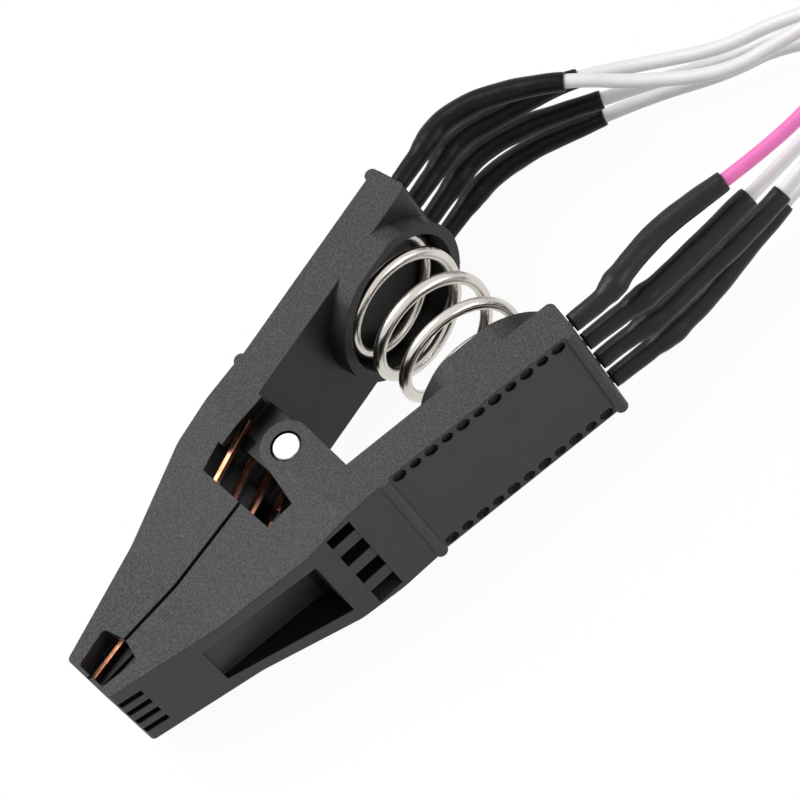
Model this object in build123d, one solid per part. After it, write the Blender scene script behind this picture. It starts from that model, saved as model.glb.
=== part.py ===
from build123d import *
import os
from math import atan2, cos, pi, radians, sin, tan

# A spring clip that grips an eight-lead small-outline chip and brings its leads out on a ribbon cable.
# Millimetres. The clip lies on its side: Z runs along the hinge pin, X from the tip to the handles,
# and Y from the lower jaw to the upper jaw. The hinge pin stands on the origin, and the side that the
# clip rests on is at Z = 0. Both jaws are one moulding, made here as the upper jaw about the
# mid-width plane; turned over about X it is the lower jaw.

# Jaw moulding, side outline
clip_width = 10.1
tip_width = 6.74
tip_reach = 18.1
tip_thickness = 2.0
jaw_gap = 0.24
bend_ahead = 4.1
bend_rise = 6.25
shoulder_behind = 2.0
shoulder_rise = 6.85
handle_tilt = 9.75
handle_length = 14.5
handle_thickness = 2.67
tip_corner = 0.35
rear_corner = 0.45
bend_round = 3.0

# Jaw moulding, plan outline
flare_start_inset = 7.6
flare_end = 1.0
flare_round = 4.0

# Hinge
pin_diameter = 1.8
pin_inset = 0.03
pin_clearance = 0.1
pin_chamfer = 0.08
ear_radius = 1.7
outer_ear_lean = 1.1
ear_neck_rear = 1.45
outer_ear = 1.4
inner_ear = 1.1
ear_gap = 0.12
shelf_front_height = 2.66
shelf_rear_height = 3.07
crotch_behind = 1.3
cavity_ahead = 4.3
cavity_front_height = 3.53
cavity_roof_ahead = 2.45
cavity_roof = 3.92
lip_thickness = 0.6
lip_drop = 0.34

# Outer recess between the tip and the contact windows
recess_front_inset = 5.75
recess_rear = 4.15
recess_rim = 1.35
recess_front_depth = 0.45
recess_rear_depth = 2.4

# Contacts and their channels
contact_count = 4
tip_pitch = 1.27
rear_pitch = 2.54
contact_width = 0.4
contact_thickness = 0.3
contact_clearance = 0.04
channel_width = 0.72
channel_roof = 0.45
fan_start = 4.3
fan_end_inset = 5.1
contact_end_inset = 0.2
contact_tip_height = 0.62
contact_window_height = 1.0
contact_window_inset = 3.4
contact_cavity_height = 2.75
contact_cavity_ahead = 4.2
contact_exit_height = 4.0
contact_exit_ahead = 0.3
contact_bury = 1.8
tail_length = 1.607

# Openings of the moulding
window_front = 2.69
window_rear = 0.89
window_width = 1.36
window_band_depth = 0.18
tip_slot_width = 0.56
tip_slot_wall = 0.12
tip_slot_length = 1.56
tip_notch_depth = 0.35
tip_notch_height = 1.35
side_window_front_inset = 0.27
side_window_top_inset = 2.8
side_window_rear_inset = 3.25
side_window_front_height = 1.12
side_window_rear_height = 1.62
side_window_corner = 0.25

# Handle: spring cup, grip beads and edge dimples
cup_from_rear = 5.4
cup_outer_radius = 5.3
cup_rise = 1.45
cup_pocket_radius = 4.58
cup_pocket_depth = 2.1
front_bead = 0.1
rear_bead_inset = 0.45
bead_width = 0.8
bead_height = 0.26
panel_depth = 0.08
dimple_count = 11
dimple_pitch = 1.195
dimple_first = 1.1
dimple_radii = [0.5, 0.43]
dimple_depth = 0.35
dimple_edge = 0.55
dimple_sides = 8

# Spring
spring_wire = 0.8
spring_mean_radius = 3.8
spring_active_turns = 4.47
spring_end_sweep = 235.0
spring_first_angle = 148.0
spring_off_centre = [0.2, -0.2]
spring_seat_gap = 0.02
spring_steps_per_turn = 6
spring_sides = 8

# Sleeves, wires, ribbon and plug
sleeve_start_gap = 0.1
sleeve_thin_diameter = 1.1
sleeve_thin_length = 2.2
sleeve_cone_length = 1.0
sleeve_diameter = 1.5
sleeve_sides = 10
wire_diameter = 0.9
wire_sides = 8
wire_clearance = 0.03
corner_share = 0.45
upper_sleeve_straight = 5.2
lower_sleeve_straight = 4.6
upper_sleeve_ends = [5.2, 4.3, 5.5, 5.2]
lower_sleeve_ends = [5.5, 5.8, 7.5, 7.5]
ribbon_pitch = 1.27
ribbon_thickness = 0.9
ribbon_lead = 5.4
plug_depth = 5.9
plug_end_wall = 2.7
plug_body_height = 6.4
plug_cover_height = 2.6
plug_pitch = 2.54
plug_hole = 0.95
plug_hole_depth = 5.2
plug_contact = 0.6
plug_contact_length = 4.16
plug_corner = 0.4
plug_edge_round = 0.36
plug_key_width = 3.6
plug_key_height = 3.4
plug_key_rise = 0.6
plug_latch_width = 2.2
plug_latch_thickness = 0.7
plug_latch_reach = 2.4

# Places near the tip, counted ahead of the hinge
flare_start = tip_reach - flare_start_inset
recess_front = tip_reach - recess_front_inset
fan_end = tip_reach - fan_end_inset
contact_end = tip_reach - contact_end_inset
contact_window_ahead = tip_reach - contact_window_inset
side_window_front = tip_reach - side_window_front_inset
side_window_top_rear = tip_reach - side_window_top_inset
side_window_rear = tip_reach - side_window_rear_inset

half_width = clip_width / 2
half_tip = tip_width / 2
tilt = radians(handle_tilt)
along = Vector(cos(tilt), sin(tilt), 0)
outward = Vector(-sin(tilt), cos(tilt), 0)
shoulder = Vector(shoulder_behind, shoulder_rise, 0)
rear_outer = shoulder + along * handle_length
rear_inner = rear_outer - outward * handle_thickness
crotch = rear_inner - along * ((rear_inner.X - crotch_behind) / cos(tilt))
clear_of_all = 4 * tip_reach
plug_length = plug_pitch * (contact_count - 1) + 2 * plug_end_wall
ribbon_lift = plug_length / 2 + plug_latch_thickness - half_width


def contact_places(pitch):
    """Z of each contact about the mid-width plane, the nearest to the upper side first."""
    return [pitch * ((contact_count - 1) / 2 - index) for index in range(contact_count)]


def taper_rise(x):
    """Height of the outer face over the front taper."""
    share = (x + tip_reach) / (tip_reach - bend_ahead)
    return tip_thickness + (bend_rise - tip_thickness) * share


def half_at(x):
    """Half width of the moulding at x, before its corners are rounded."""
    share = min(max((x + flare_start) / (flare_start - flare_end), 0), 1)
    return half_tip + (half_width - half_tip) * share


def side_slab(points, depth=clear_of_all):
    """Solid of a side outline in XY, equal on both sides of the mid-width plane."""
    return extrude(make_face(Polyline(*points, close=True)), depth / 2, both=True)


def plan_slab(points, depth=clear_of_all):
    """Solid of a plan outline given as x and z, running along Y both ways."""
    outline = Polyline(*[(x, 0, z) for x, z in points], close=True)
    return extrude(make_face(outline), depth / 2, dir=(0, 1, 0), both=True)


def strip_outline(points, width):
    """Closed outline of a strip of even width about a line of (x, offset) points that runs along X."""
    upper = []
    lower = []
    for index, (x, offset) in enumerate(points):
        before = points[max(index - 1, 0)]
        after = points[min(index + 1, len(points) - 1)]
        slope = atan2(after[1] - before[1], after[0] - before[0])
        reach = width / 2 / cos(slope)
        upper.append((x, offset + reach))
        lower.append((x, offset - reach))
    return upper + lower[::-1]


def contact_line():
    """Side view of a contact, from its buried run's rear end to its tip, as (x, height) points."""
    middle = rear_outer - outward * (handle_thickness / 2)
    tail = middle + along * tail_length
    buried = middle - along * ((middle.X - contact_bury) / cos(tilt))
    return [
        (-contact_end, contact_tip_height),
        (-contact_window_ahead, contact_window_height),
        (-contact_cavity_ahead, contact_cavity_height),
        (-contact_exit_ahead, contact_exit_height),
        (buried.X, buried.Y),
        (tail.X, tail.Y),
    ]


def contact_fan(index):
    """Plan view of a contact as (x, z) points: it fans out from the tip pitch to the rear pitch."""
    tip = contact_places(tip_pitch)[index]
    rear = contact_places(rear_pitch)[index]
    far = contact_line()[-1][0]
    return [(-contact_end, tip), (-fan_end, tip), (-fan_start, rear), (far, rear)]


def contact(index, spare=0.0):
    """A formed strip: its side view and its fan, each given its thickness, cut to what they share."""
    bent = side_slab(strip_outline(contact_line(), contact_thickness + 2 * spare))
    fanned = plan_slab(strip_outline(contact_fan(index), contact_width + 2 * spare))
    return bent & fanned


def channel(index):
    """The groove of one contact, open to the mid-plane, from the hinge cavity to the tip."""
    line = [point for point in contact_line() if point[0] <= -contact_cavity_ahead]
    front = -contact_end - contact_clearance
    roof = [(x, height + channel_roof) for x, height in line]
    roof[0] = (front, roof[0][1])
    rear_roof = roof[-1][1]
    rear = contact_width - cavity_ahead
    outline = [(front, 0)] + roof + [(rear, rear_roof), (rear, 0)]
    return side_slab(outline) & plan_slab(strip_outline(contact_fan(index), channel_width))


def ear(z_low, z_high, lean):
    """A hinge ear: a round end about the pin on a neck that leans forward into the outer wall."""
    top = cavity_roof + handle_thickness / 2
    neck = [(-ear_radius, 0), (ear_radius, 0), (ear_neck_rear, top), (-ear_radius - lean, top)]
    outline = Circle(ear_radius) + make_face(Polyline(*neck, close=True))
    return Pos(0, 0, z_low) * extrude(outline, z_high - z_low)


def ear_shelf():
    """The part of the outer ear's wall that closes the front corner of the hinge cavity."""
    outline = [
        (-cavity_ahead - outer_ear, shelf_front_height),
        (-cavity_ahead, shelf_front_height),
        (-ear_radius, shelf_rear_height),
        (-ear_radius, crotch.Y),
        (-cavity_ahead - outer_ear, crotch.Y),
    ]
    wall = extrude(make_face(Polyline(*outline, close=True)), outer_ear)
    return Pos(0, 0, -half_width) * wall


def roof_lip():
    """The thin lip of the side wall that hangs below the cavity's roof, on the side with the inner ear."""
    outline = [
        (-cavity_roof_ahead, cavity_roof - lip_drop),
        (crotch.X, crotch.Y - lip_drop),
        (crotch.X, crotch.Y + lip_drop),
        (-cavity_roof_ahead, cavity_roof + lip_drop),
    ]
    wall = extrude(make_face(Polyline(*outline, close=True)), lip_thickness)
    return Pos(0, 0, half_width - lip_thickness) * wall


def jaw_outline():
    """Side outline of the moulding, with its corners and the bend of its outer face rounded."""
    corners = [
        (-tip_reach, jaw_gap / 2),
        (-tip_reach, tip_thickness),
        (-bend_ahead, bend_rise),
        (shoulder.X, shoulder.Y),
        (rear_outer.X, rear_outer.Y),
        (rear_inner.X, rear_inner.Y),
        (crotch.X, crotch.Y),
        (-cavity_roof_ahead, cavity_roof),
        (-cavity_ahead, cavity_front_height),
        (-cavity_ahead, jaw_gap / 2),
    ]
    face = make_face(Polyline(*corners, close=True))
    rounds = {1: tip_corner, 2: bend_round, 4: rear_corner, 5: rear_corner}
    for index, radius in rounds.items():
        nearest = face.vertices().sort_by_distance(corners[index])[0]
        face = fillet(nearest, radius)
    return face


def jaw_plan():
    """Plan outline of the moulding: narrow at the tip, then flaring to the full width."""
    rear = rear_inner.X + handle_thickness
    corners = [
        (-tip_reach, half_tip),
        (-flare_start, half_tip),
        (-flare_end, half_width),
        (rear, half_width),
    ]
    corners += [(x, -z) for x, z in reversed(corners)]
    face = make_face(Polyline(*corners, close=True))
    for corner in corners:
        if corner[0] in (-flare_start, -flare_end):
            face = fillet(face.vertices().sort_by_distance(corner)[0], flare_round)
    return extrude(Plane.XZ * mirror(face, Plane.XZ), clear_of_all / 2, both=True)


def handle_frame(distance, rise):
    """Place on the handle: distance along it from the shoulder, rise outward from its outer face."""
    origin = shoulder + along * distance + outward * rise
    return Plane(origin=origin, x_dir=along, z_dir=outward)


def spring_cup():
    """Round boss on the handle's inner face, cut off flat at the sides and the rear end."""
    base = handle_frame(handle_length - cup_from_rear, -handle_thickness)
    return base * Pos(0, 0, -cup_rise) * Cylinder(
        cup_outer_radius, cup_rise + handle_thickness / 2, align=(Align.CENTER, Align.CENTER, Align.MIN)
    )


def cup_pocket():
    """The round pocket that the end of the spring sits in."""
    floor = cup_pocket_depth - cup_rise
    base = handle_frame(handle_length - cup_from_rear, -handle_thickness + floor)
    return base * Cylinder(
        cup_pocket_radius, 2 * cup_pocket_depth, align=(Align.CENTER, Align.CENTER, Align.MAX)
    )


def grip_bead(distance):
    """A low rounded bead across the handle's outer face."""
    radius = (bead_height**2 + (bead_width / 2) ** 2) / (2 * bead_height)
    place = handle_frame(distance, bead_height - radius)
    return place * Rot(90, 0, 0) * Cylinder(radius, clip_width)


def grip_dimples():
    """Faceted pits along both edges of the grip panel, large and small by turns."""
    pits = []
    for side in (-1, 1):
        for index in range(dimple_count):
            radius = dimple_radii[index % len(dimple_radii)]
            place = handle_frame(dimple_first + index * dimple_pitch, -dimple_depth)
            pit = extrude(RegularPolygon(radius, dimple_sides), handle_thickness)
            pits.append(place * Pos(0, -side * (half_width - dimple_edge), 0) * pit)
    return pits


def grip_panel():
    """The slightly sunk panel between the two beads."""
    front = front_bead + bead_width / 2
    rear = handle_length - rear_bead_inset - bead_width / 2
    place = handle_frame((front + rear) / 2, -panel_depth)
    above = (Align.CENTER, Align.CENTER, Align.MIN)
    return place * Box(rear - front, 2 * clip_width, handle_thickness, align=above)


def outer_recess():
    """A deep recess in the outer face: nearly flush at the tip end, deeper towards the rear."""
    front_floor = taper_rise(-recess_front) - recess_front_depth
    rear_floor = taper_rise(-recess_rear) - recess_rear_depth
    above = bend_rise + handle_thickness
    outline = [
        (-recess_front, front_floor), (-recess_rear, rear_floor),
        (-recess_rear, above), (-recess_front, above),
    ]
    front_half = half_at(-recess_front) - recess_rim
    rear_half = half_at(-recess_rear) - recess_rim
    plan = [
        (-recess_front, front_half), (-recess_rear, rear_half),
        (-recess_rear, -rear_half), (-recess_front, -front_half),
    ]
    return side_slab(outline) & plan_slab(plan)


def wall_rise(x):
    """Height of the outer face between the bend and the handle."""
    share = (x + bend_ahead) / (shoulder_behind + bend_ahead)
    return bend_rise + (shoulder_rise - bend_rise) * share


def contact_windows():
    """Four windows through the outer wall, over the contacts in the hinge cavity, in a sunk band."""
    length = window_front - window_rear
    middle = -(window_front + window_rear) / 2
    places = contact_places(rear_pitch)
    band_top = bend_rise + handle_thickness
    front_floor = wall_rise(-window_front) - window_band_depth
    rear_floor = wall_rise(-window_rear) - window_band_depth
    band = [
        (-window_front, front_floor), (-window_rear, rear_floor),
        (-window_rear, band_top), (-window_front, band_top),
    ]
    cuts = [side_slab(band, places[0] - places[-1] + window_width)]
    for place in places:
        reach = 2 * (bend_rise - contact_cavity_height)
        cuts.append(Pos(middle, bend_rise, place) * Box(length, reach, window_width))
    return cuts


def tip_slots():
    """Four slots through the tip over the contacts, and the notches that make a comb of its end."""
    middle = -(tip_reach - tip_slot_wall - tip_slot_length / 2)
    cuts = Part()
    for place in contact_places(tip_pitch):
        cuts += Pos(middle, tip_thickness, place) * Box(tip_slot_length, 2 * tip_thickness, tip_slot_width)
        cuts += Pos(-tip_reach, 0, place) * Box(2 * tip_notch_depth, 2 * tip_notch_height, tip_slot_width)
    return cuts


def side_windows():
    """Openings in both side walls of the tip, through which the outer contacts show."""
    corners = [
        (-side_window_front, 0),
        (-side_window_front, side_window_front_height),
        (-side_window_top_rear, side_window_rear_height),
        (-side_window_rear, 0),
    ]
    face = make_face(Polyline(*corners, close=True))
    for corner in corners[1:3]:
        face = fillet(face.vertices().sort_by_distance(corner)[0], side_window_corner)
    inner = contact_places(tip_pitch)[0]
    opening = extrude(face, half_width - inner)
    return [Pos(0, 0, inner) * opening, Pos(0, 0, -half_width) * opening]


def hinge_hole():
    """Running hole for the pin."""
    return Cylinder(pin_diameter / 2 + pin_clearance, 2 * clip_width)


def jaw():
    """The moulding, as the upper jaw about the mid-width plane."""
    body = extrude(jaw_outline(), half_width, both=True)
    body -= outer_recess()
    body -= grip_panel()
    body += grip_bead(front_bead)
    body += grip_bead(handle_length - rear_bead_inset)
    body += ear(-half_width, -half_width + outer_ear, outer_ear_lean)
    body += ear_shelf()
    body += roof_lip()
    inner_top = half_width - outer_ear - ear_gap
    body += ear(inner_top - inner_ear, inner_top, 0)
    rear_end = Plane(origin=rear_outer, x_dir=outward, z_dir=along)
    behind = rear_end * Box(
        clear_of_all, clear_of_all, handle_thickness, align=(Align.CENTER, Align.CENTER, Align.MIN)
    )
    body += spring_cup() - behind
    body &= jaw_plan()
    body -= cup_pocket()
    body -= grip_dimples()
    body -= contact_windows()
    body -= tip_slots()
    body -= side_windows()
    body -= hinge_hole()
    for index in range(contact_count):
        body -= channel(index)
        body -= contact(index, contact_clearance)
    return body


def hinge_pin():
    """Plain steel pin with chamfered ends, a little shorter than the clip is wide."""
    pin = Cylinder(pin_diameter / 2, clip_width - 2 * pin_inset)
    return chamfer(pin.edges().filter_by(GeomType.CIRCLE), pin_chamfer)


def bar(path, diameter, sides):
    """A bar along a path, its round section drawn as a polygon of few sides."""
    return sweep(Plane(origin=path @ 0, z_dir=path % 0) * RegularPolygon(diameter / 2, sides), path=path)


def spring():
    """Compression spring bent between the tilted cup floors: flat end coils and open turns, one wire."""
    seat = cup_pocket_depth - cup_rise - spring_wire / 2 - spring_seat_gap
    middle = handle_frame(handle_length - cup_from_rear, -handle_thickness + seat).origin
    end_turns = spring_end_sweep / 360
    turns = spring_active_turns + 2 * end_turns
    steps = int(turns * spring_steps_per_turn)
    points = []
    for step in range(steps + 1):
        turn = turns * step / steps
        share = min(max((turn - end_turns) / spring_active_turns, 0), 1)
        lean = tilt * (1 - 2 * share)
        angle = 2 * pi * (turn - end_turns) + radians(spring_first_angle)
        reach = spring_off_centre[0] + spring_mean_radius * sin(angle)
        height = middle.Y * (1 - 2 * share)
        across = spring_off_centre[1] + spring_mean_radius * cos(angle)
        points.append((middle.X + reach * cos(lean), height + reach * sin(lean), across))
    return bar(Spline(*points), spring_wire, spring_sides)


def corner_radii(points):
    """The largest even arc at each corner of a cord's route."""
    radii = []
    for before, at, after in zip(points, points[1:], points[2:]):
        run_in = at - before
        run_out = after - at
        turn = radians(run_in.get_angle(run_out))
        radii.append(corner_share * min(run_in.length, run_out.length) / tan(turn / 2))
    return radii


def sleeve_root(place, side):
    """Where a sleeve starts at the rear end of a jaw, and the direction it leaves in."""
    middle = rear_outer - outward * (handle_thickness / 2)
    start = Vector(middle.X, side * middle.Y, place)
    away = Vector(along.X, side * along.Y, 0)
    return start, away


def wire_points(place, side, route):
    """A wire's route from its solder joint inside the sleeve to the ribbon."""
    start, away = sleeve_root(place, side)
    joint = start + away * (tail_length + wire_clearance)
    corner = start + away * (upper_sleeve_straight if side > 0 else lower_sleeve_straight)
    return [joint, corner] + [Vector(*point) for point in route]


def sleeve(place, side, route, beyond_corner):
    """Shrunk sleeve: thin over the contact's tail, a cone at the solder joint, then full over the wire."""
    start, away = sleeve_root(place, side)
    points = wire_points(place, side, route)
    radii = corner_radii(points)
    reach = points[2] + (points[3] - points[2]).normalized() * beyond_corner
    path = FilletPolyline(*points[:3], reach, radius=radii[:2])
    first = Plane(origin=start + away * sleeve_start_gap, z_dir=away)
    base = (Align.CENTER, Align.CENTER, Align.MIN)
    full_from = sleeve_thin_length + sleeve_cone_length
    solid = bar(path, sleeve_diameter, sleeve_sides)
    solid -= first * Box(clip_width, clip_width, full_from, align=base)
    thin = RegularPolygon(sleeve_thin_diameter / 2, sleeve_sides)
    full = RegularPolygon(sleeve_diameter / 2, sleeve_sides)
    solid += first * extrude(thin, sleeve_thin_length)
    solid += first * loft([Pos(0, 0, sleeve_thin_length) * thin, Pos(0, 0, full_from) * full], ruled=True)
    tail_bore = contact_thickness + contact_width
    solid -= first * extrude(RegularPolygon(tail_bore / 2, wire_sides), full_from)
    return solid - bar(path, wire_diameter + 2 * wire_clearance, wire_sides)


def wire(name, place, side, route):
    """One insulated wire, swept along straight runs and tangent arcs."""
    points = wire_points(place, side, route)
    radii = corner_radii(points)
    path = FilletPolyline(*points, radius=radii)
    solid = bar(path, wire_diameter, wire_sides)
    expected = RegularPolygon(wire_diameter / 2, wire_sides).area * path.length
    print(name, "length", round(path.length, 1), "radii", [round(radius, 1) for radius in radii],
          "volume share", round(solid.volume / expected, 4))
    return solid


# Routes of the wires and the ribbon, x and y as chosen, heights about the mid-width plane
merge_x = 52.0
merge_y = -9.7
ribbon_route = [
    (merge_x, merge_y), (60.5, -10.2), (71.5, -10.4), (82.5, -9.8), (92.0, -7.5),
    (97.2, -2.8), (96.2, 3.4), (90.6, 6.6), (79.4, 6.2), (68.4, 4.6),
]
upper_routes = [
    [(24.0, 7.7, 3.81), (31.6, 0.9, 3.8), (38.4, -4.9, 3.9)],
    [(24.4, 7.75, 1.27), (31.8, 2.0, 1.4), (38.6, -4.0, 1.5)],
    [(24.6, 7.8, -1.27), (32.0, 2.9, -1.0), (38.8, -3.2, -0.9)],
    [(24.6, 7.85, -3.81), (32.2, 3.7, -3.4), (39.0, -2.4, -3.3)],
]
lower_routes = [
    [(23.4, -8.3, 3.81), (31.4, -9.2, 3.9), (38.8, -9.6, 4.8)],
    [(23.7, -8.6, 1.27), (32.0, -9.5, 1.5), (39.0, -9.7, 2.4)],
    [(23.9, -8.85, -1.27), (33.0, -9.9, -0.5), (39.6, -9.8, 0.3)],
    [(23.9, -8.95, -3.81), (33.0, -10.0, -2.5), (39.6, -9.8, -1.6)],
]


def conductor_height(order):
    """Height of one conductor in the upright ribbon, about the mid-width plane of the clip."""
    return ribbon_lift + ribbon_pitch * (contact_count - 0.5 - order)


def full_route(routes, index, order):
    """A wire's chosen points, then the straight run that lines it up with its place in the ribbon."""
    height = conductor_height(order)
    begin = Vector(*ribbon_route[0])
    heading = (Vector(*ribbon_route[1]) - begin).normalized()
    lead = begin - heading * ribbon_lead
    return routes[index] + [(lead.X, lead.Y, height), (begin.X, begin.Y, height)]


def ribbon_line():
    """Middle line of the ribbon in plan."""
    points = [Vector(x, y, 0) for x, y in ribbon_route]
    radii = corner_radii(points)
    path = FilletPolyline(*points, radius=radii)
    print("ribbon length", round(path.length, 1), "radii", [round(radius, 1) for radius in radii])
    return path


def ribbon(path):
    """The flat cable, standing on its edge."""
    height = ribbon_pitch * (2 * contact_count - 1) + wire_diameter
    strip = trace(path, ribbon_thickness)
    return Pos(0, 0, ribbon_lift - height / 2) * extrude(strip, height)


def plug_frame(path):
    """Middle of the plug: X along the ribbon's end, Y out of the cover, Z up."""
    heading = path % 1
    end = path @ 1
    middle = end - heading * (plug_depth / 2)
    return Plane(origin=(middle.X, middle.Y, ribbon_lift), x_dir=heading, z_dir=(0, 0, 1))


def plug_sites():
    """Places of the plug's contacts about its middle, two rows."""
    return [(row * plug_pitch / 2, place) for row in (-1, 1) for place in contact_places(plug_pitch)]


def plug_body():
    """The plug's socket body, with its holes, its key and the hooks that hold the cover."""
    top = -ribbon_thickness / 2
    outline = RectangleRounded(plug_depth, plug_length, plug_corner)
    body = Pos(0, top, 0) * Rot(90, 0, 0) * extrude(outline, plug_body_height)
    key = Box(2 * plug_key_rise, plug_key_height, plug_key_width)
    body += Pos(plug_depth / 2, top - plug_body_height + plug_key_height / 2, 0) * key
    hole = Box(plug_hole, 2 * plug_hole_depth, plug_hole)
    for x, z in plug_sites():
        body -= Pos(x, top - plug_body_height, z) * hole
    return body


def plug_cover():
    """The cover that presses the ribbon onto the contacts, with a latch at each end."""
    bottom = ribbon_thickness / 2
    outline = RectangleRounded(plug_depth, plug_length, plug_corner)
    cover = Pos(0, bottom, 0) * Rot(-90, 0, 0) * extrude(outline, plug_cover_height)
    cover = fillet(cover.faces().sort_by(Axis.Y)[-1].edges(), plug_edge_round)
    reach = plug_cover_height + ribbon_thickness + plug_latch_reach
    for side in (-1, 1):
        below = (Align.CENTER, Align.MAX, Align.CENTER)
        latch = Box(plug_latch_width, reach, plug_latch_thickness, align=below)
        place = side * (plug_length + plug_latch_thickness) / 2
        cover += Pos(0, bottom + plug_cover_height - plug_corner, place) * latch
    return cover


def plug_contacts():
    """The spring contacts at the bottom of the plug's holes."""
    floor = -ribbon_thickness / 2 - plug_body_height + plug_hole_depth
    blades = Part()
    for x, z in plug_sites():
        below = (Align.CENTER, Align.MAX, Align.CENTER)
        blade = Box(plug_contact, plug_contact_length, plug_contact, align=below)
        blades += Pos(x, floor, z) * blade
    return blades


def write(name, solid):
    """Writes one piece, lifted so that the clip rests at Z = 0."""
    export_step(Pos(0, 0, half_width) * solid, f"parts/{name}.step")


def main():
    os.makedirs("parts", exist_ok=True)
    moulding = jaw()
    turned = Rot(180, 0, 0)
    write("upper_jaw", moulding)
    write("lower_jaw", turned * moulding)
    write("hinge_pin", hinge_pin())
    write("spring", spring())
    for index in range(contact_count):
        number = index + 1
        strip = contact(index)
        write(f"upper_contact_{number}", strip)
        write(f"lower_contact_{contact_count - index}", turned * strip)
        place = contact_places(rear_pitch)[index]
        above = full_route(upper_routes, index, 2 * index + 1)
        below = full_route(lower_routes, index, 2 * index)
        write(f"upper_sleeve_{number}", sleeve(place, 1, above, upper_sleeve_ends[index]))
        write(f"lower_sleeve_{number}", sleeve(place, -1, below, lower_sleeve_ends[index]))
        write(f"upper_wire_{number}", wire(f"upper_wire_{number}", place, 1, above))
        write(f"lower_wire_{number}", wire(f"lower_wire_{number}", place, -1, below))
    path = ribbon_line()
    plug = plug_frame(path)
    write("ribbon", ribbon(path))
    write("plug_body", plug * plug_body())
    write("plug_cover", plug * plug_cover())
    write("plug_contacts", plug * plug_contacts())


main()
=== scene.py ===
# %% [markdown]
# # A spring test clip for small chips
# Two black jaws turn on a steel pin, and a spring between the handles keeps their tips shut. Each tip
# holds four thin copper strips that touch the leads of a chip. Wires in shrunk sleeves carry the
# signals away to a flat cable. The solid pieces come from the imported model. This lesson gives them
# their finishes, and makes the pieces that bend: the spring, the sleeves, the wires and the flat cable.

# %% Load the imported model
import math

import bpy
from mathutils import Matrix, Vector, noise


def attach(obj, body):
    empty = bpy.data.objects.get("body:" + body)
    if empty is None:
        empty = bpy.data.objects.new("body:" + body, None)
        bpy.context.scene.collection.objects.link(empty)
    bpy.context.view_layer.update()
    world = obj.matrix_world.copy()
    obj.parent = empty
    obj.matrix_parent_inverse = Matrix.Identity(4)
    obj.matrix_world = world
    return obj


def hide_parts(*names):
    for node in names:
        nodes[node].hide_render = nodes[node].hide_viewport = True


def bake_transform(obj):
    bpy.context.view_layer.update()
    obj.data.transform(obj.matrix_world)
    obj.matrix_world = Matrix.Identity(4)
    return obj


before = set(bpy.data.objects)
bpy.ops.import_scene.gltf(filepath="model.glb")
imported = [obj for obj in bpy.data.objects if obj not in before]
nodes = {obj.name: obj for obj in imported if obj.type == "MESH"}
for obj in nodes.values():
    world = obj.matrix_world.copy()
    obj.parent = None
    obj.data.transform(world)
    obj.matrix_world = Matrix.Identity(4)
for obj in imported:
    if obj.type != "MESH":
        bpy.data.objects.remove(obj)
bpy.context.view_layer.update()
MM = 0.001

# %% [markdown]
# ## Camera
# The photograph was taken from far away with a long lens, so its lines hardly converge. The camera's
# place and axes were worked out from points on the clip whose sizes are known. They are written here
# as a rotation, because a target point and an up direction would hide the camera's small roll.

# %% Place the camera
CAMERA_PLACE = Vector((-15.89, -149.847, 231.898)) * MM
CAMERA_RIGHT = Vector((0.68238, -0.64014, -0.35297))
CAMERA_DOWN = Vector((-0.72617, -0.53815, -0.42787))
CAMERA_FORWARD = Vector((0.08394, 0.54828, -0.83207))
CAMERA_LENS = 203.0
SENSOR_WIDTH = 36.0
NEAREST_SEEN = 10 * MM

camera_data = bpy.data.cameras.new("photo_camera")
camera_data.lens = CAMERA_LENS
camera_data.sensor_width = SENSOR_WIDTH
camera_data.clip_start = NEAREST_SEEN
camera = bpy.data.objects.new("photo_camera", camera_data)
turn = Matrix((CAMERA_RIGHT, -CAMERA_DOWN, -CAMERA_FORWARD)).transposed()
camera.matrix_world = Matrix.Translation(CAMERA_PLACE) @ turn.to_4x4()
bpy.context.scene.collection.objects.link(camera)
bpy.context.scene.camera = camera
print("camera is", round(CAMERA_PLACE.length / MM), "mm from the hinge")

# %% [markdown]
# ## Tubes along smooth lines
# Wires, sleeves and the spring are all round bars that follow a line. A NURBS curve pulled by a few
# control points bends the way a limp wire does, without straight runs between tight corners. A curve
# with a bevel would be enough for a plain wire, but a mesh tube can also change its thickness along the
# way and can bend with a joint, so every tube here is a mesh. The points of a wire and its sleeve are
# read from the curve, and those of the spring come from a formula.

# %% Smooth line and tube helpers
LINE_STEPS = 10
LINE_ORDER = 3
TUBE_SEGMENTS = 20
BORE_STEPS = 4


def smooth_line(name, points):
    """Points along a NURBS curve with the given control points."""
    curve = bpy.data.curves.new(name, "CURVE")
    curve.dimensions = "3D"
    curve.resolution_u = LINE_STEPS
    spline = curve.splines.new("NURBS")
    spline.points.add(len(points) - 1)
    for control, point in zip(spline.points, points):
        control.co = (*point, 1)
    spline.order_u = LINE_ORDER
    spline.use_endpoint_u = True
    holder = bpy.data.objects.new(name, curve)
    mesh = bpy.data.meshes.new_from_object(holder)
    line = [vertex.co.copy() for vertex in mesh.vertices]
    bpy.data.objects.remove(holder)
    bpy.data.curves.remove(curve)
    bpy.data.meshes.remove(mesh)
    return line


def line_length(line):
    """Length of a line of points."""
    return sum((after - before).length for before, after in zip(line, line[1:]))


def heading(line, index):
    """Direction of a line at one of its points."""
    before = line[max(index - 1, 0)]
    after = line[min(index + 1, len(line) - 1)]
    return (after - before).normalized()


def line_frames(line):
    """Each point with two cross axes, turned as little as possible from one point to the next."""
    frames = []
    side = heading(line, 0).orthogonal().normalized()
    for index, point in enumerate(line):
        ahead = heading(line, index)
        side = (side - ahead * side.dot(ahead)).normalized()
        frames.append((point, side, ahead.cross(side)))
    return frames


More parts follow.
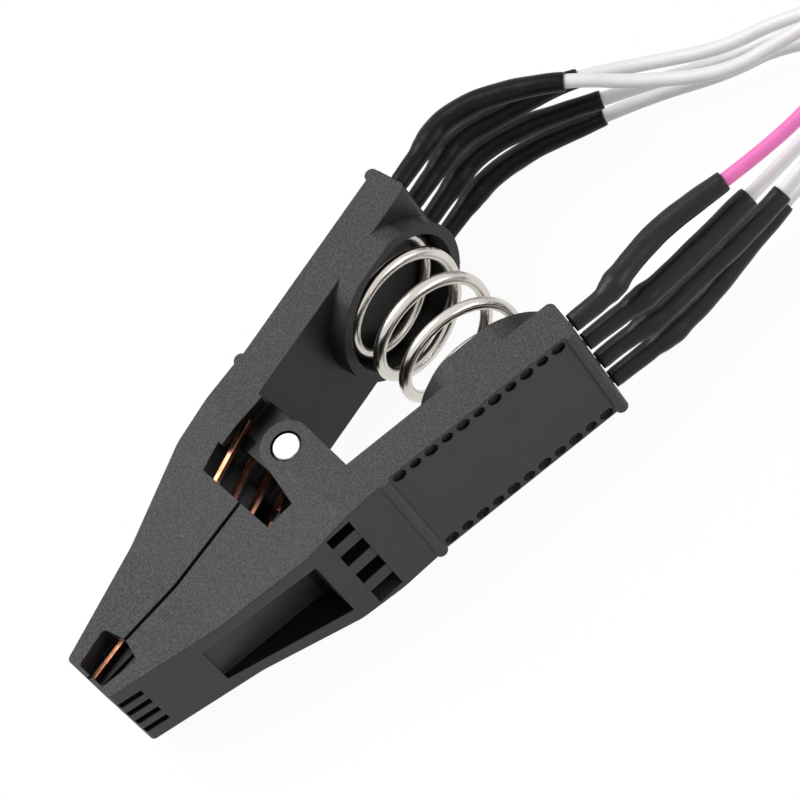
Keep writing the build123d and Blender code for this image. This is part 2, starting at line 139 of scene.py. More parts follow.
def mesh_piece(name, points, faces):
    """A smooth-shaded mesh object, linked to the scene."""
    mesh = bpy.data.meshes.new(name)
    mesh.from_pydata([tuple(point) for point in points], [], faces)
    mesh.validate()
    mesh.shade_smooth()
    piece = bpy.data.objects.new(name, mesh)
    bpy.context.scene.collection.objects.link(piece)
    return piece


def skin(rings, corners):
    """Faces between rings of points that lie one after the other, and a face at each end."""
    faces = []
    for low in range(0, (rings - 1) * corners, corners):
        high = low + corners
        for corner in range(corners):
            beside = (corner + 1) % corners
            faces.append((low + corner, low + beside, high + beside, high + corner))
    faces.append(tuple(reversed(range(corners))))
    faces.append(tuple(range((rings - 1) * corners, rings * corners)))
    return faces


def tube(name, line, radius, segments=TUBE_SEGMENTS, bore=None):
    """A round bar on a line. radius is a function of the point's index and the angle round it.

    With a bore, the last end stands open: a lip turns inwards to the bore, which goes back a few steps.
    """
    points = []
    frames = line_frames(line)
    rings = [(index, None) for index in range(len(line))]
    if bore:
        rings += [(len(line) - 1, bore), (len(line) - 1 - BORE_STEPS, bore)]
    for index, fixed in rings:
        point, side, rise = frames[index]
        for segment in range(segments):
            angle = 2 * math.pi * segment / segments
            reach = fixed or radius(index, angle)
            points.append(point + side * (reach * math.cos(angle)) + rise * (reach * math.sin(angle)))
    return mesh_piece(name, points, skin(len(rings), segments))


print("tube helpers ready,", LINE_STEPS, "steps to a run")

# %% [markdown]
# ## Wires
# Four wires leave the upper jaw and four the lower one. Out of the picture they come together, one
# above the other, as the conductors of a flat cable. The wires of the upper jaw hang between a jaw that
# moves and a cable that stays. They keep beside the lower wires and not above them, which leaves room
# when the clip opens. The others ride on the lower jaw. Each wire was soldered beside the strip's tail
# and not in line with it, so it steps a little to one side there.

# %% Routes of the wires, in millimetres about the middle of the clip's width
HALF_WIDTH = 5.05
WIRE_DIAMETER = 0.9 * MM
REAR_PLACES = [3.81, 1.27, -1.27, -3.81]
RIBBON_PLACES = [6.605, 5.335, 4.065, 2.795, 1.525, 0.255, -1.015, -2.285]
JAW_SIGNS = {"upper": 1, "lower": -1}
JOINT_X = 18.13
JOINT_Y = 8.267
MERGE = (52.0, -9.7)
MERGE_LEAD = (46.609, -9.383)
ROUTES = {
    "upper": [
        [
            (19.5, 8.5, 3.81), (21.4, 8.95, 3.81), (24.4, 7.7, 3.81), (28.3, 4.2, 3.7),
            (30.9, 1.2, 2.5), (34.6, -3.0, 2.4), (38.4, -4.7, 2.9),
        ],
        [
            (19.5, 8.5, 1.27), (21.4, 8.95, 1.27), (24.4, 7.8, 1.27), (28.6, 6.1, 1.25),
            (32.3, 3.3, 0.5), (36.1, -0.4, 0.6), (39.8, -2.5, 1.3),
        ],
        [
            (19.5, 8.5, -1.27), (21.6, 8.9, -1.27), (24.8, 7.95, -1.27), (28.6, 5.5, -1.4),
            (32.5, 3.3, -1.9), (36.3, 0.2, -1.7), (39.6, -1.6, -1.1),
        ],
        [
            (19.5, 8.5, -3.81), (21.6, 8.7, -3.81), (24.8, 7.9, -3.81), (28.6, 5.9, -3.8),
            (32.4, 3.8, -3.9), (36.2, 0.9, -3.8), (39.6, -0.8, -3.4),
        ],
    ],
    "lower": [
        [
            (19.3, -8.45, 3.81), (21.0, -8.1, 3.81), (24.4, -7.9, 3.81), (30.6, -9.4, 3.9),
            (35.6, -10.1, 4.1), (40.0, -9.9, 4.8),
        ],
        [
            (19.4, -8.5, 1.27), (21.2, -8.95, 1.27), (24.4, -9.2, 1.25), (30.0, -9.5, 1.4),
            (35.0, -9.9, 1.9), (40.0, -9.7, 2.5),
        ],
        [
            (19.4, -8.5, -1.27), (21.2, -9.0, -1.27), (24.5, -9.1, -1.3), (29.5, -9.6, -1.1),
            (34.5, -9.7, -0.4), (39.8, -9.6, 0.3),
        ],
        [
            (19.4, -8.5, -3.81), (21.2, -8.8, -3.81), (24.3, -9.0, -3.75), (29.0, -8.9, -3.1),
            (34.5, -9.2, -2.3), (39.8, -9.5, -1.7),
        ],
    ],
}


def in_metres(x, y, z):
    """A point given in millimetres about the middle of the width, in the model's own frame."""
    return Vector((x, y, z + HALF_WIDTH)) * MM


def wire_route(side, index):
    """Control points of one wire, from its solder joint to the flat cable."""
    height = RIBBON_PLACES[2 * index + 1 if side == "upper" else 2 * index]
    start = (JOINT_X, JAW_SIGNS[side] * JOINT_Y, REAR_PLACES[index])
    route = [start, *ROUTES[side][index], (*MERGE_LEAD, height), (*MERGE, height)]
    return [in_metres(*point) for point in route]


print("routes for", len(REAR_PLACES), "wires on each jaw")

# %% Make the wires
BEND_START = in_metres(28.4, 4.6, 0)
BEND_END = in_metres(36.0, -6.0, 0)
wires = {}
wire_lines = {}
for side in JAW_SIGNS:
    for index in range(len(REAR_PLACES)):
        name = f"{side}_wire_{index + 1}"
        line = smooth_line(name, wire_route(side, index))
        wire = tube(f"insulated_{name}", line, lambda step, angle: WIRE_DIAMETER / 2)
        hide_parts(name)
        if side == "upper":
            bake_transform(wire)
        else:
            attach(wire, "lower_jaw")
        wires[name] = wire
        wire_lines[name] = line
print("wires of", [round(line_length(line) / MM, 1) for line in wire_lines.values()], "mm")

# %% [markdown]
# ## Flat cable
# The cable is eight insulated conductors side by side, joined by thin webs, so its face is ribbed. It
# stands on its edge behind the clip and turns back once, to end in its plug. The section is drawn once
# across the width, and repeated along a smooth line on the ground plan.

# %% Make the ribbed flat cable
CABLE_ROUTE = [
    (52.0, -9.7), (60.5, -10.2), (71.5, -10.4), (82.5, -9.8), (92.0, -7.5),
    (97.2, -2.8), (96.2, 3.4), (90.6, 6.6), (79.4, 6.2), (68.4, 4.6),
]
CABLE_PITCH = 1.27 * MM
CABLE_HALF_WEB = 0.22 * MM
CABLE_MIDDLE = sum(RIBBON_PLACES) / len(RIBBON_PLACES)
RIB_STEPS = 10
UP = Vector((0, 0, 1))


def cable_section():
    """Half thickness and height of the ribbed section, from its lower edge to its upper one."""
    section = []
    lowest = -(len(RIBBON_PLACES) - 1) / 2 * CABLE_PITCH
    for conductor in range(len(RIBBON_PLACES)):
        for step in range(RIB_STEPS + 1):
            angle = math.pi * (step / RIB_STEPS - 0.5)
            thick = max(WIRE_DIAMETER / 2 * math.cos(angle), CABLE_HALF_WEB)
            height = lowest + conductor * CABLE_PITCH + WIRE_DIAMETER / 2 * math.sin(angle)
            section.append((thick, height))
    return section


cable_line = smooth_line("cable_line", [in_metres(x, y, CABLE_MIDDLE) for x, y in CABLE_ROUTE])
section = cable_section()
outline = section + [(-thick, height) for thick, height in reversed(section)]
cable_points = []
for index, point in enumerate(cable_line):
    across = heading(cable_line, index).cross(UP)
    cable_points += [point + across * thick + UP * height for thick, height in outline]
flat_cable = mesh_piece("flat_cable", cable_points, skin(len(cable_line), len(outline)))
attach(flat_cable, "lower_jaw")
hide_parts("ribbon")
print("flat cable of", round(line_length(cable_line) / MM, 1), "mm")

# %% [markdown]
# ## Sleeves
# A piece of tube was pushed over each soldered joint and heated until it shrank. It hugs the strip's
# tail, swells over the blob of solder, and then follows the wire. Its radius therefore changes along
# the way, a little unevenly. Its end stands open round the wire.

# %% Make the shrunk sleeves
SLEEVE_START = (16.615, 8.007)
BORE_ROOM = 0.025 * MM
SLEEVE_STEP = 0.18 * MM
SLEEVE_LENGTHS = {"upper": [12.9, 13.3, 13.9, 13.3], "lower": [12.5, 13.1, 15.0, 15.0]}
SLEEVE_PROFILES = {
    "upper": [
        (0.0, 0.57), (0.3, 0.61), (2.0, 0.64), (2.9, 0.75),
        (3.5, 0.80), (4.4, 0.75), (8.0, 0.74), (13.0, 0.61),
    ],
    "lower": [
        (0.0, 0.58), (0.3, 0.62), (2.2, 0.64), (2.9, 0.79),
        (3.4, 0.85), (4.2, 0.76), (8.0, 0.75), (13.0, 0.66),
    ],
}
TAIL_SHARES = {"upper": [1.0, 1.1, 1.0, 1.15], "lower": [1.05, 1.3, 1.15, 1.4]}
LUMP_SIZE = 1.6
LUMP_HEIGHT = 0.06
# Each sleeve takes its lumps from another stretch of the noise
LUMP_SHIFT = 7
LUMP_SIDE_SHIFT = 40
RIM_ROUND = 0.04


def ease(value, low, high):
    """0 below low, 1 above high, smooth between."""
    share = min(max((value - low) / (high - low), 0), 1)
    return share * share * (3 - 2 * share)


def along_line(line, distance):
    """The point at a distance along a line of points."""
    for before, after in zip(line, line[1:]):
        run = (after - before).length
        if distance <= run:
            return before.lerp(after, distance / run)
        distance -= run
    return line[-1]


def sleeve_radius(profile, distance):
    """Radius of the sleeve in millimetres at a distance from its thin end."""
    for (near, small), (far, large) in zip(profile, profile[1:]):
        if distance < far:
            return small + (large - small) * ease(distance, near, far)
    return profile[-1][1]


def shrunk_sleeve(side, index):
    """A sleeve with lumps, closed round the strip's tail and hollow at the wire's end."""
    length = SLEEVE_LENGTHS[side][index]
    shift = (LUMP_SHIFT * index, LUMP_SIDE_SHIFT * JAW_SIGNS[side])
    first = in_metres(SLEEVE_START[0], JAW_SIGNS[side] * SLEEVE_START[1], REAR_PLACES[index])
    guide = [first] + wire_lines[f"{side}_wire_{index + 1}"]
    steps = round(length * MM / SLEEVE_STEP)
    line = [along_line(guide, length * MM * step / steps) for step in range(steps + 1)]

    def radius(step, angle):
        distance = length * step / steps
        spot = Vector((distance / LUMP_SIZE, math.cos(angle), math.sin(angle) + shift[0] + shift[1]))
        lump = 1 + LUMP_HEIGHT * noise.noise(spot)
        rounding = RIM_ROUND * (1 - ease(length - distance, 0, SLEEVE_STEP / MM))
        reach = distance / TAIL_SHARES[side][index]
        return (sleeve_radius(SLEEVE_PROFILES[side], reach) * lump - rounding) * MM

    name = f"{side}_sleeve_{index + 1}"
    sleeve = tube(f"shrunk_{name}", line, radius, bore=WIRE_DIAMETER / 2 + BORE_ROOM)
    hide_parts(name)
    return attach(sleeve, f"{side}_jaw")


sleeves = {}
for side in JAW_SIGNS:
    for index in range(len(REAR_PLACES)):
        sleeves[f"{side}_sleeve_{index + 1}"] = shrunk_sleeve(side, index)
print("sleeves:", sorted(sleeves))

# %% [markdown]
# ## What the cords are
# Every wire goes into the flat cable, and the cable ends in its plug.

for name, wire in wires.items():
    line = wire_lines[name]
print("declared", len(wires) + 1, "cords")

# %% [markdown]
# ## Spring
# The spring's end coils lie flat on the floors of the two cups, which lean away from each other, so
# its turns lean less and less towards the middle. Opening the clip brings the cups together. The wire is
# one mesh.

# %% Make the spring
SPRING_MIDDLE = Vector((11.382, 5.986))
SPRING_OFF_CENTRE = Vector((0.2, -0.2))
SPRING_RADIUS = 3.8
SPRING_WIRE = 0.8 * MM
SPRING_TURNS = 4.47
SPRING_END_TURNS = 235 / 360
SPRING_FIRST_ANGLE = math.radians(148)
HANDLE_TILT = math.radians(9.75)
TURN_STEPS = 48
SPRING_SEGMENTS = 24


def spring_point(turn):
    """Middle of the wire at a count of turns from the upper end."""
    share = min(max((turn - SPRING_END_TURNS) / SPRING_TURNS, 0), 1)
    lean = HANDLE_TILT * (1 - 2 * share)
    angle = SPRING_FIRST_ANGLE + 2 * math.pi * (turn - SPRING_END_TURNS)
    reach = SPRING_OFF_CENTRE.x + SPRING_RADIUS * math.sin(angle)
    across = SPRING_OFF_CENTRE.y + SPRING_RADIUS * math.cos(angle)
    height = SPRING_MIDDLE.y * (1 - 2 * share) + reach * math.sin(lean)
    return in_metres(SPRING_MIDDLE.x + reach * math.cos(lean), height, across)


all_turns = SPRING_TURNS + 2 * SPRING_END_TURNS
spring_steps = round(all_turns * TURN_STEPS)
spring_line = [spring_point(all_turns * step / spring_steps) for step in range(spring_steps + 1)]
coil = tube("coil_spring", spring_line, lambda step, angle: SPRING_WIRE / 2, SPRING_SEGMENTS)
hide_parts("spring")
in_metres(SPRING_MIDDLE.x, -SPRING_MIDDLE.y, 0)
in_metres(SPRING_MIDDLE.x, SPRING_MIDDLE.y, 0)
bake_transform(coil)
print("spring wire of", round(line_length(spring_line) / MM), "mm")

# %% [markdown]
# ## Finishes as expressions
# A finish is a small program of shader nodes. Written one call at a time it is hard to read, so two
# helpers come first. Value wraps an output socket and turns + - * / and abs into Math nodes. Finish
# holds one material, and its node method makes any other node from its type, settings and inputs.

# %% Shader helpers
RAY_SAMPLES = 6
# Sockets of a Mix node that hold colours, by their numbers, because their names repeat
FIRST_COLOUR = 6
SECOND_COLOUR = 7
MIXED_COLOUR = 2


class Value:
    """An output socket that can be used in sums."""

    def __init__(self, finish, socket):
        self.finish = finish
        self.socket = socket

    def __add__(self, other):
        return self.finish.math("ADD", self, other)

    def __radd__(self, other):
        return self.finish.math("ADD", other, self)

    def __sub__(self, other):
        return self.finish.math("SUBTRACT", self, other)

    def __rsub__(self, other):
        return self.finish.math("SUBTRACT", other, self)

    def __mul__(self, other):
        return self.finish.math("MULTIPLY", self, other)

    def __rmul__(self, other):
        return self.finish.math("MULTIPLY", other, self)

    def __truediv__(self, other):
        return self.finish.math("DIVIDE", self, other)

    def __rtruediv__(self, other):
        return self.finish.math("DIVIDE", other, self)

    def __abs__(self):
        return self.finish.math("ABSOLUTE", self, 0)


class Finish:
    """One material, built up from nodes."""

    def __init__(self, name):
        self.material = bpy.data.materials.new(name)
        self.material.use_nodes = True
        self.tree = self.material.node_tree
        self.shader = self.tree.nodes["Principled BSDF"]

    def node(self, kind, settings=None, inputs=None, output=0):
        """Any node: its settings are set first, then the values or links of its inputs."""
        made = self.tree.nodes.new(kind)
        for key, value in (settings or {}).items():
            setattr(made, key, value)
        for key, value in (inputs or {}).items():
            self.feed(made.inputs[key], value)
        return Value(self, made.outputs[output])

    def feed(self, socket, value):
        """Links a value to a socket, or sets it there."""
        if isinstance(value, Value):
            self.tree.links.new(value.socket, socket)
        else:
            socket.default_value = value

    def math(self, operation, first, second):
        """A Math node on two values or numbers."""
        return self.node("ShaderNodeMath", {"operation": operation}, {0: first, 1: second})

    def place(self):
        """The point's place in the model's frame."""
        return self.node("ShaderNodeTexCoord", output="Object")

    def part(self, vector, axis):
        """One of a vector's three numbers, X, Y or Z."""
        return self.node("ShaderNodeSeparateXYZ", {}, {"Vector": vector}, output=axis)

    def speckle(self, size, detail=2.0, rough=0.5):
        """Noise with blobs of about the given size, from 0 to 1."""
        inputs = {"Vector": self.place(), "Scale": 1 / size, "Detail": detail, "Roughness": rough}
        return self.node("ShaderNodeTexNoise", {}, inputs)

    def between(self, value, low, high):
        """0 below low, 1 above high, smooth between."""
        settings = {"interpolation_type": "SMOOTHSTEP"}
        inputs = {"Value": value, "From Min": low, "From Max": high}
        return self.node("ShaderNodeMapRange", settings, inputs)

    def blend(self, mask, first, second):
        """A colour mixed from two by a mask."""
        inputs = {"Factor": mask, FIRST_COLOUR: first, SECOND_COLOUR: second}
        return self.node("ShaderNodeMix", {"data_type": "RGBA"}, inputs, output=MIXED_COLOUR)

    def bump(self, height, distance, strength, normal=None):
        """A normal tilted by a height given from 0 to 1."""
        inputs = {"Height": height, "Distance": distance, "Strength": strength}
        if normal is not None:
            inputs["Normal"] = normal
        return self.node("ShaderNodeBump", {}, inputs)

    def worn_edge(self, radius):
        """A normal that rounds the solid's sharp edges by a small radius."""
        return self.node("ShaderNodeBevel", {"samples": RAY_SAMPLES}, {"Radius": radius})

    def open_sky(self, distance, own_piece):
        """How open the surroundings are within a distance, counting one piece or all of them."""
        settings = {"samples": RAY_SAMPLES, "only_local": own_piece}
        return self.node("ShaderNodeAmbientOcclusion", settings, {"Distance": distance}, output="AO")

    def set(self, **inputs):
        """Feeds the shader's own sockets, named with _ for a space."""
        for key, value in inputs.items():
            self.feed(self.shader.inputs[key.replace("_", " ")], value)

    def on(self, *pieces):
        """Puts the finish on pieces."""
        for piece in pieces:
            piece.data.materials.clear()
            piece.data.materials.append(self.material)


def grey(level, warm=0.0):
    """A linear grey, a little warmer or cooler."""
    return (level * (1 + warm), level, level * (1 - warm), 1)


print("shader helpers ready")

# %% [markdown]
# ## Moulded jaws
# The jaws are glass-filled plastic, black but not deep black. Their flat sides came from an etched
# mould and show a fine grain. The outer faces are smoother and a little glossier. The mask that tells
# them apart is the direction that the surface faces in the model, not the camera's view. Faces that
# look sideways from deep inside the width are walls of slots and recesses. They are smooth, and their
# colour is painted near black as shade. So is the gap between the hinge ears, and so is whatever lies
# deep in a hollow, which an occlusion node finds. The beads across the grip are grained like the sides,
# only less.

# %% Masks for the jaw plastic
HALF_TIP = 3.37
FLARE = (-10.5, -1.0)
SHOULDER = Vector((2.0, 6.85))
BEADS = (0.1, 14.05)
BEAD_SHARE = 0.6
PAINTED_SHADE_REACH = 2.0 * MM
# Each mask goes from 0 to 1 between two numbers, in millimetres where it follows a place
FACING_SIDEWAYS = (0.75, 0.95)
DEEP_INSIDE = (0.45, 0.75)
PAST_BEAD = (0.40, 0.45)
ABOVE_GRIP = (0.02, 0.10)
UNDER_OPEN_SKY = (0.06, 0.34)
BEHIND_EAR_FRONT = (-4.7, -4.5)
BEHIND_EAR_BACK = (1.0, 1.5)
ABOVE_EARS = (4.0, 4.2)

jaw_plastic = Finish("jaw_plastic")
normal = jaw_plastic.node("ShaderNodeTexCoord", output="Normal")
sideways = jaw_plastic.between(abs(jaw_plastic.part(normal, "Z")), *FACING_SIDEWAYS)
spot = jaw_plastic.place()
along = jaw_plastic.part(spot, "X") / MM
height = abs(jaw_plastic.part(spot, "Y") / MM)
off_middle = abs(jaw_plastic.part(spot, "Z") / MM - HALF_WIDTH)

flare = (along - FLARE[0]) / (FLARE[1] - FLARE[0])
flare = jaw_plastic.math("MINIMUM", jaw_plastic.math("MAXIMUM", flare, 0), 1)
half_here = HALF_TIP + (HALF_WIDTH - HALF_TIP) * flare
deep = jaw_plastic.between(half_here - off_middle, *DEEP_INSIDE)
# Painted shade: sideways walls deep in slots and recesses get a darkened colour
wall_painted_shade = deep * sideways
sides = sideways * (1 - deep)

past_shoulder = along - SHOULDER.x
over_shoulder = height - SHOULDER.y
along_handle = past_shoulder * math.cos(HANDLE_TILT) + over_shoulder * math.sin(HANDLE_TILT)
above_handle = over_shoulder * math.cos(HANDLE_TILT) - past_shoulder * math.sin(HANDLE_TILT)
for middle in BEADS:
    bead = 1 - jaw_plastic.between(abs(along_handle - middle), *PAST_BEAD)
    bead = BEAD_SHARE * bead * jaw_plastic.between(above_handle, *ABOVE_GRIP)
    sides = jaw_plastic.math("MAXIMUM", sides, bead)

# Painted shade: where the jaw's own occlusion finds a hollow, the colour is darkened
hollow = 1 - jaw_plastic.between(jaw_plastic.open_sky(PAINTED_SHADE_REACH, own_piece=True), *UNDER_OPEN_SKY)
# Painted shade: the gap between the hinge ears is darkened
ear_gap_painted_shade = jaw_plastic.between(along, *BEHIND_EAR_FRONT) * (1 - jaw_plastic.between(along, *BEHIND_EAR_BACK))
ear_gap_painted_shade = ear_gap_painted_shade * (1 - jaw_plastic.between(height, *ABOVE_EARS)) * (1 - sideways)
painted_shade_mask = jaw_plastic.math("MAXIMUM", wall_painted_shade, jaw_plastic.math("MAXIMUM", hollow, ear_gap_painted_shade))
print("masks: etched sides, walls of slots, hollows")

# %% Jaw plastic
GRAIN_SIZE = 0.11 * MM
GRAIN_DEPTH = 0.035 * MM
GRAIN_SHOWN = (0.36, 0.70)
GRAIN_ON_FACES = 0.08
GRAIN_MORE_ON_SIDES = 0.72
RELIEF_ON_FACES = 0.12
RELIEF_MORE_ON_SIDES = 0.88
CLOUD_SIZE = 2.4 * MM
EDGE_ROUND = 0.11 * MM
JAW_DARK = grey(0.018)
JAW_LIGHT = grey(0.024)
JAW_GRAIN = grey(0.09)
# Near black, painted as shade on slot walls, in hollows and between the ears
JAW_PAINTED_SHADE = grey(0.004)
JAW_SHINE = 0.22

grain = jaw_plastic.speckle(GRAIN_SIZE, detail=3.0, rough=0.65)
cloud = jaw_plastic.speckle(CLOUD_SIZE, detail=3.0)
etched = jaw_plastic.between(grain, *GRAIN_SHOWN)
shade = jaw_plastic.blend(cloud, JAW_DARK, JAW_LIGHT)
grained = etched * (GRAIN_ON_FACES + GRAIN_MORE_ON_SIDES * sides)
shade = jaw_plastic.blend(grained, shade, JAW_GRAIN)
# The painted shade goes into the colour here
shade = jaw_plastic.blend(painted_shade_mask, shade, JAW_PAINTED_SHADE)
relief = grain * (RELIEF_ON_FACES + RELIEF_MORE_ON_SIDES * sides)
worn = jaw_plastic.worn_edge(EDGE_ROUND)
jaw_plastic.set(
    Base_Color=shade,
    Roughness=0.42 + 0.16 * sides + 0.10 * (grain - 0.5),
    Normal=jaw_plastic.bump(relief, GRAIN_DEPTH, strength=0.8, normal=worn),
    Specular_IOR_Level=JAW_SHINE,
)
jaw_plastic.on(nodes["upper_jaw"], nodes["lower_jaw"])
print("jaw plastic on both jaws")

# %% [markdown]
# ## Pin
# The pin is bright steel, and only its cut end shows. One noise gives the marks of the cut. It drives
# the colour, the shine and the relief together, because a mark is darker, smoother and deeper at once.

# %% Pin
PIN_MARK_SIZE = 0.25 * MM
PIN_MARK_DEPTH = 0.01 * MM
PIN_MARKS_SHOWN = (0.3, 0.6)
PIN_DARK = grey(0.30, 0.03)
PIN_BRIGHT = grey(0.58, 0.03)

pin_steel = Finish("pin_steel")
turned_marks = pin_steel.between(pin_steel.speckle(PIN_MARK_SIZE, detail=4.0), *PIN_MARKS_SHOWN)
pin_steel.set(
    Base_Color=pin_steel.blend(turned_marks, PIN_DARK, PIN_BRIGHT),
    Metallic=1.0,
    Roughness=0.34 + 0.2 * turned_marks,
    Normal=pin_steel.bump(turned_marks, PIN_MARK_DEPTH, strength=0.4),
)
pin_steel.on(nodes["hinge_pin"])
print("steel on the pin")

# %% [markdown]
# ## Spring wire
# The spring is drawn wire with a bright plating and faint marks. A mirror-like metal would show only the
# white studio, so a fine noise roughens it a little, and a wide one tarnishes its colour.

# %% Spring wire
SPRING_MARK_SIZE = 0.3 * MM
SPRING_MARK_DEPTH = 0.008 * MM
TARNISH_SIZE = 1.8 * MM
TARNISHED = (0.58, 0.54, 0.49, 1)
PLATED = (0.74, 0.71, 0.67, 1)

spring_steel = Finish("spring_steel")
drawn_marks = spring_steel.speckle(SPRING_MARK_SIZE, detail=4.0, rough=0.7)
spring_steel.set(
    Base_Color=spring_steel.blend(spring_steel.speckle(TARNISH_SIZE), TARNISHED, PLATED),
    Metallic=1.0,
    Roughness=0.14 + 0.14 * drawn_marks,
    Normal=spring_steel.bump(drawn_marks, SPRING_MARK_DEPTH, strength=0.3),
)
spring_steel.on(coil)
print("plated steel on the spring")

# %% [markdown]
# ## Contact strips
# The strips are copper alloy that has browned in places. They look nearly black where they lie deep in
# the jaws, in shade. Lamps alone would leave them too bright there, so an occlusion node that counts
# the jaws too darkens the colour there as painted shade.

# %% Contact strips
PATINA_SIZE = 0.8 * MM
PATINA_SHOWN = (0.35, 0.7)
SCRATCH_SIZE = 0.1 * MM
SCRATCH_DEPTH = 0.006 * MM
STRIP_EDGE = 0.06 * MM
STRIP_REACH = 3.0 * MM
STRIP_LIT = (0.08, 0.40)
COPPER_BRIGHT = (0.62, 0.29, 0.17, 1)
COPPER_BROWN = (0.30, 0.10, 0.06, 1)
# Near black, painted as shade where the strips lie deep in the jaws
COPPER_PAINTED_SHADE = (0.06, 0.018, 0.012, 1)

contact_copper = Finish("contact_copper")
patina = contact_copper.speckle(PATINA_SIZE, detail=4.0)
browned = contact_copper.between(patina, *PATINA_SHOWN)
# Painted shade: the colour darkens where the jaws occlude the strips
lit = contact_copper.between(contact_copper.open_sky(STRIP_REACH, own_piece=False), *STRIP_LIT)
strip_shade = contact_copper.blend(browned, COPPER_BRIGHT, COPPER_BROWN)
scratches = contact_copper.speckle(SCRATCH_SIZE)
worn = contact_copper.worn_edge(STRIP_EDGE)
contact_copper.set(
    Base_Color=contact_copper.blend(lit, COPPER_PAINTED_SHADE, strip_shade),
    Metallic=1.0,
    Roughness=0.22 + 0.2 * patina,
    Normal=contact_copper.bump(scratches, SCRATCH_DEPTH, strength=0.3, normal=worn),
)
contact_copper.on(*[piece for name, piece in nodes.items() if "contact" in name])
print("copper on the strips and the plug's contacts")

# %% [markdown]
# ## Shrunk tube
# The sleeves are black with faint wrinkles and a few specks of dust. On the upper jaw they are a deeper
# black with less shine. The two finishes differ only in their greys and their shine, so one function
# makes both.

# %% Shrunk tube
WRINKLE_SIZE = 0.7 * MM
WRINKLE_DEPTH = 0.05 * MM
DUST_SIZE = 0.15 * MM
DUST_SHOWN = (0.70, 0.80)
DUST = grey(0.12)
DUST_RELIEF = 0.15


def shrunk_tube(name, dark, light, shine):
    """Shrunk tube between two greys."""
    finish = Finish(name)
    wrinkles = finish.speckle(WRINKLE_SIZE, detail=3.0)
    dust = finish.speckle(DUST_SIZE)
    black = finish.blend(wrinkles, grey(dark), grey(light))
    finish.set(
        Base_Color=finish.blend(finish.between(dust, *DUST_SHOWN), black, DUST),
        Roughness=0.30 + 0.12 * dust,
        Normal=finish.bump(wrinkles + DUST_RELIEF * dust, WRINKLE_DEPTH, strength=0.5),
        Specular_IOR_Level=shine,
    )
    return finish


heat_shrink = shrunk_tube("heat_shrink", dark=0.003, light=0.008, shine=0.125)
dull_shrink = shrunk_tube("dull_shrink", dark=0.010, light=0.020, shine=0.2)
for name, sleeve in sleeves.items():
    finish = heat_shrink if name.startswith("upper") else dull_shrink
    finish.on(sleeve)
print("shrunk tube on", len(sleeves), "sleeves")

# %% [markdown]
# ## Insulation
# The insulation of the wires is pale and slightly waxy. One wire is pink, which marks the first
# conductor along the whole cable. The cable is one mesh, so its pink edge is a mask on the height and
# not a second piece.

# %% Insulation
WAX_SIZE = 1.5 * MM
SKIN_SIZE = 0.25 * MM
SKIN_DEPTH = 0.01 * MM
EDGE_SOFTNESS = 0.02 * MM
PALE = (grey(0.76), grey(0.66))
PINK = ((0.82, 0.19, 0.49, 1), (0.74, 0.14, 0.42, 1))


def insulation(name, tones, edge_tones=None, edge_height=0.0):
    """Waxy insulation clouded between two tones, with two others above a height where they are given."""
    finish = Finish(name)
    clouds = finish.speckle(WAX_SIZE, detail=3.0)
    fine_skin = finish.speckle(SKIN_SIZE)
    colour = finish.blend(clouds, *tones)
    if edge_tones:
        height = finish.part(finish.place(), "Z")
        edge = finish.between(height, edge_height - EDGE_SOFTNESS, edge_height + EDGE_SOFTNESS)
        colour = finish.blend(edge, colour, finish.blend(clouds, *edge_tones))
    finish.set(
        Base_Color=colour,
        Roughness=0.36 + 0.12 * fine_skin,
        Normal=finish.bump(fine_skin, SKIN_DEPTH, strength=0.4),
    )
    return finish


insulation("wire_pale", PALE).on(*wires.values())
insulation("wire_pink", PINK).on(wires["lower_wire_1"])
first_edge = HALF_WIDTH * MM + RIBBON_PLACES[0] * MM - CABLE_PITCH / 2
insulation("cable_marked", PALE, PINK, first_edge).on(flat_cable)
print("insulation on", len(wires), "wires and the flat cable")

# %% [markdown]
# ## Plug
# The plug is plain black plastic with a fine grain. A bevel node rounds its sharp edges in the shading
# alone, so that the shape stays that of the solid.

# %% Plug
PLUG_GRAIN_SIZE = 0.25 * MM
PLUG_GRAIN_DEPTH = 0.02 * MM
PLUG_DARK = grey(0.022)
PLUG_LIGHT = grey(0.034)

plug_plastic = Finish("plug_plastic")
plug_grain = plug_plastic.speckle(PLUG_GRAIN_SIZE, detail=3.0)
worn = plug_plastic.worn_edge(EDGE_ROUND)
plug_plastic.set(
    Base_Color=plug_plastic.blend(plug_grain, PLUG_DARK, PLUG_LIGHT),
    Roughness=0.46 + 0.1 * plug_grain,
    Normal=plug_plastic.bump(plug_grain, PLUG_GRAIN_DEPTH, strength=0.5, normal=worn),
)
plug_plastic.on(nodes["plug_body"], nodes["plug_cover"])
print("plain plastic on the plug's body and cover")

# %% [markdown]
# ## Floor
# The clip lies on a white floor in soft light. The floor is pale and lit like everything else, but for
# rays that come straight from the camera or off shiny metal it is mixed with plain white, as the
# photograph's background is. Its shadow stays, only fainter.

# %% Floor
FLOOR_HALF = 0.6
FLOOR_CORNERS = [(-1, -1), (1, -1), (1, 1), (-1, 1)]
FLOOR_WHITE = grey(0.85)
WHITE_SHARE = 0.95
PURE_WHITE = grey(1.0)


def seen_directly(finish):
    """1 for rays from the camera, off metal or through glass."""
    sums = finish.node("ShaderNodeLightPath", output="Is Camera Ray")
    for ray in ("Is Glossy Ray", "Is Transmission Ray"):
        sums = finish.math("MAXIMUM", sums, finish.node("ShaderNodeLightPath", output=ray))
    return sums


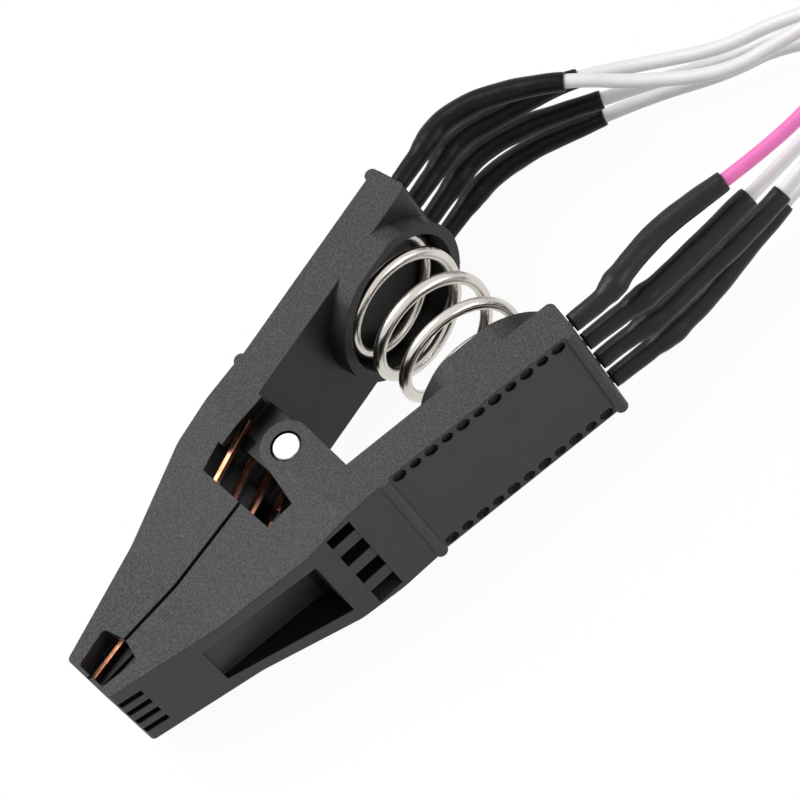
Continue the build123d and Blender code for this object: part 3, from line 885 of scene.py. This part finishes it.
corners = [(x * FLOOR_HALF, y * FLOOR_HALF, 0) for x, y in FLOOR_CORNERS]
floor = mesh_piece("studio_floor", corners, [tuple(range(len(corners)))])
studio_white = Finish("studio_white")
studio_white.set(Base_Color=FLOOR_WHITE, Roughness=0.9)
glow = studio_white.node("ShaderNodeEmission", {}, {"Color": PURE_WHITE, "Strength": 1.0})
lit_floor = Value(studio_white, studio_white.shader.outputs[0])
white_here = WHITE_SHARE * seen_directly(studio_white)
mixed = studio_white.node("ShaderNodeMixShader", {}, {0: white_here, 1: lit_floor, 2: glow})
studio_white.feed(studio_white.tree.nodes["Material Output"].inputs["Surface"], mixed)
studio_white.on(floor)
print("white floor", 2 * FLOOR_HALF, "m wide")

# %% [markdown]
# ## World
# The world is plain white to the camera and to shiny metal, much as the floor is. As a light it is
# dimmer, so that the lamps can shape the clip.

# %% World
AMBIENT = 0.32


class Sky(Finish):
    """The world's nodes, with the same helpers."""

    def __init__(self, world):
        self.tree = world.node_tree


world = bpy.data.worlds.new("studio_world")
bpy.context.scene.world = world
world.use_nodes = True
sky = Sky(world)
background = world.node_tree.nodes["Background"]
sky.feed(background.inputs["Color"], PURE_WHITE)
sky.feed(background.inputs["Strength"], AMBIENT + (1 - AMBIENT) * seen_directly(sky))
print("world gives", AMBIENT, "of white as light")

# %% [markdown]
# ## Lamps
# A large soft lamp above the far side gives the clip its light and its shadow. A weaker one near the
# floor on the other side fills the dark faces. Area lamps keep the shadows' edges soft.

# %% Lamps
LAMP_SIZE = 0.30
KEY_PLACE = Vector((-0.12, 0.20, 0.36))
KEY_POWER = 2.1
FILL_PLACE = Vector((0.28, -0.38, 0.12))
FILL_POWER = 0.9


def soft_lamp(name, place, power):
    """A square area lamp that faces the hinge."""
    data = bpy.data.lights.new(name, "AREA")
    data.size = LAMP_SIZE
    data.energy = power
    lamp = bpy.data.objects.new(name, data)
    lamp.location = place
    lamp.rotation_euler = (-place).to_track_quat("-Z", "Y").to_euler()
    bpy.context.scene.collection.objects.link(lamp)


soft_lamp("key", KEY_PLACE, KEY_POWER)
soft_lamp("fill", FILL_PLACE, FILL_POWER)
bpy.context.scene.view_settings.view_transform = "Standard"
print("lamps of", KEY_POWER, "and", FILL_POWER, "W")
